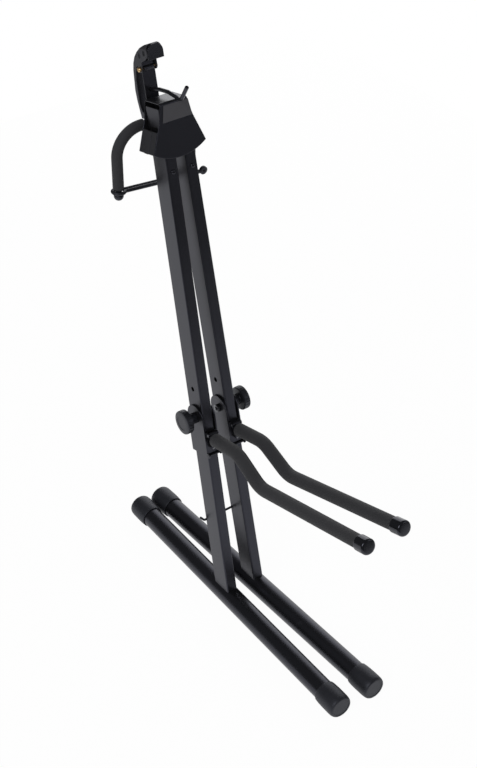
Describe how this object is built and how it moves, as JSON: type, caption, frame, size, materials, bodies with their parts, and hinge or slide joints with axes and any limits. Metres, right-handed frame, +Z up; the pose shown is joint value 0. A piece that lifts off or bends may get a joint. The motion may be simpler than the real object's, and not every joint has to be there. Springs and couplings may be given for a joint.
{
  "type": "cello stand",
  "caption": "Folding black cello stand with hinged legs on foot tubes, sliding foam-covered arms, a neck yoke with strap and a bow hook.",
  "frame": {"origin": "on the floor, under the middle of the folded stand's length and width, the strap's pull ring included", "axes": "+Z up, -Y is the front where the arms point, +X is the right-hand side seen from the front"},
  "size_m": [0.176, 0.64, 0.9386],
  "materials": {
    "black_paint": "satin black powder coat",
    "foam": "matte closed-cell foam",
    "rubber": "matte black rubber",
    "plastic": "matte moulded plastic",
    "gloss_plastic": "glossy black plastic",
    "label": "blank matte grey",
    "brass": "bright brass",
    "zinc": "bright zinc plate"
  },
  "bodies": {
    "head": {"head_shell": "black_paint", "side_stop_left": "black_paint", "side_stop_right": "black_paint", "leg_pivot_left": "black_paint", "leg_pivot_right": "black_paint", "label_plate": "label", "post_bracket": "black_paint", "post_rivet_left": "black_paint", "post_rivet_right": "black_paint", "yoke_bearing": "plastic", "bearing_screw": "zinc", "bow_hook": "black_paint", "cross_screw": "brass", "cross_nut": "brass"},
    "lever": {"hook_lever": "black_paint", "hook_pad": "rubber"},
    "yoke": {"yoke_rod": "black_paint", "yoke_collar_left": "plastic", "yoke_collar_right": "plastic", "yoke_foam_left": "foam", "yoke_foam_right": "foam", "yoke_end_left": "plastic", "yoke_end_right": "plastic", "strap": "rubber"},
    "leg_left": {"leg_left": "black_paint", "leg_bolt_left": "black_paint", "leg_nut_left": "zinc", "foot_tube_left": "black_paint", "front_foot_cap_left": "rubber", "back_foot_cap_left": "rubber"},
    "carriage_left": {"carriage_left": "black_paint", "arm_pin_left": "zinc", "stop_pin_left": "black_paint", "stop_screw_left": "zinc", "clamp_nut_left": "zinc"},
    "clamp_left": {"clamp_knob_left": "plastic", "clamp_screw_left": "zinc"},
    "arm_left": {"arm_rod_left": "black_paint", "arm_foam_left": "foam", "arm_cap_left": "gloss_plastic"},
    "fold_hook": {"fold_hook": "black_paint"},
    "leg_right": {"leg_right": "black_paint", "leg_bolt_right": "black_paint", "leg_nut_right": "zinc", "foot_tube_right": "black_paint", "front_foot_cap_right": "rubber", "back_foot_cap_right": "rubber", "fold_hook_rivet": "black_paint"},
    "carriage_right": {"carriage_right": "black_paint", "arm_pin_right": "zinc", "stop_pin_right": "black_paint", "stop_screw_right": "zinc", "clamp_nut_right": "zinc"},
    "clamp_right": {"clamp_knob_right": "plastic", "clamp_screw_right": "zinc"},
    "arm_right": {"arm_rod_right": "black_paint", "arm_foam_right": "foam", "arm_cap_right": "gloss_plastic"}
  },
  "joints": [
    {"name": "lever_tilt", "type": "hinge", "parent": "head", "child": "lever", "pos_m": [-0.00971, 0.27357, 0.89309], "axis": [-1, 0, 0], "range_deg": [0, 4]},
    {"name": "yoke_swing", "type": "hinge", "parent": "head", "child": "yoke", "pos_m": [-0.00971, 0.26536, 0.80752], "axis": [1, 0, 0], "range_deg": [0, 255], "deforming": ["strap"]},
    {"name": "leg_spread_left", "type": "hinge", "parent": "head", "child": "leg_left", "pos_m": [-0.02611, 0.2228, 0.8353], "axis": [0, 0.9758, -0.2187], "range_deg": [0, 19.6]},
    {"name": "carriage_slide_left", "type": "slide", "parent": "leg_left", "child": "carriage_left", "axis": [0.0131, 0.2186, 0.9757], "range_m": [0, 0.05]},
    {"name": "clamp_turn_left", "type": "hinge", "parent": "carriage_left", "child": "clamp_left", "pos_m": [-0.03257, 0.11458, 0.35231], "axis": [-0.9999, 0.0029, 0.0127], "continuous": true},
    {"name": "arm_fold_left", "type": "hinge", "parent": "carriage_left", "child": "arm_left", "pos_m": [-0.0329, 0.08402, 0.33303], "axis": [-0.9999, 0.0029, 0.0127], "range_deg": [0, 90]},
    {"name": "leg_spread_right", "type": "hinge", "parent": "head", "child": "leg_right", "pos_m": [0.00669, 0.2228, 0.8353], "axis": [0, -0.9758, 0.2187], "range_deg": [0, 19.6]},
    {"name": "carriage_slide_right", "type": "slide", "parent": "leg_right", "child": "carriage_right", "axis": [-0.0131, 0.2186, 0.9757], "range_m": [0, 0.05]},
    {"name": "clamp_turn_right", "type": "hinge", "parent": "carriage_right", "child": "clamp_right", "pos_m": [0.01315, 0.11458, 0.35231], "axis": [0.9999, 0.0029, 0.0127], "continuous": true},
    {"name": "arm_fold_right", "type": "hinge", "parent": "carriage_right", "child": "arm_right", "pos_m": [0.01349, 0.08402, 0.33303], "axis": [-0.9999, -0.0029, -0.0127], "range_deg": [0, 90]},
    {"name": "fold_hook_swing", "type": "hinge", "parent": "leg_right", "child": "fold_hook", "pos_m": [0.01577, 0.09193, 0.15245], "axis": [0, -0.9758, 0.2187], "range_deg": [0, 90]}
  ]
}
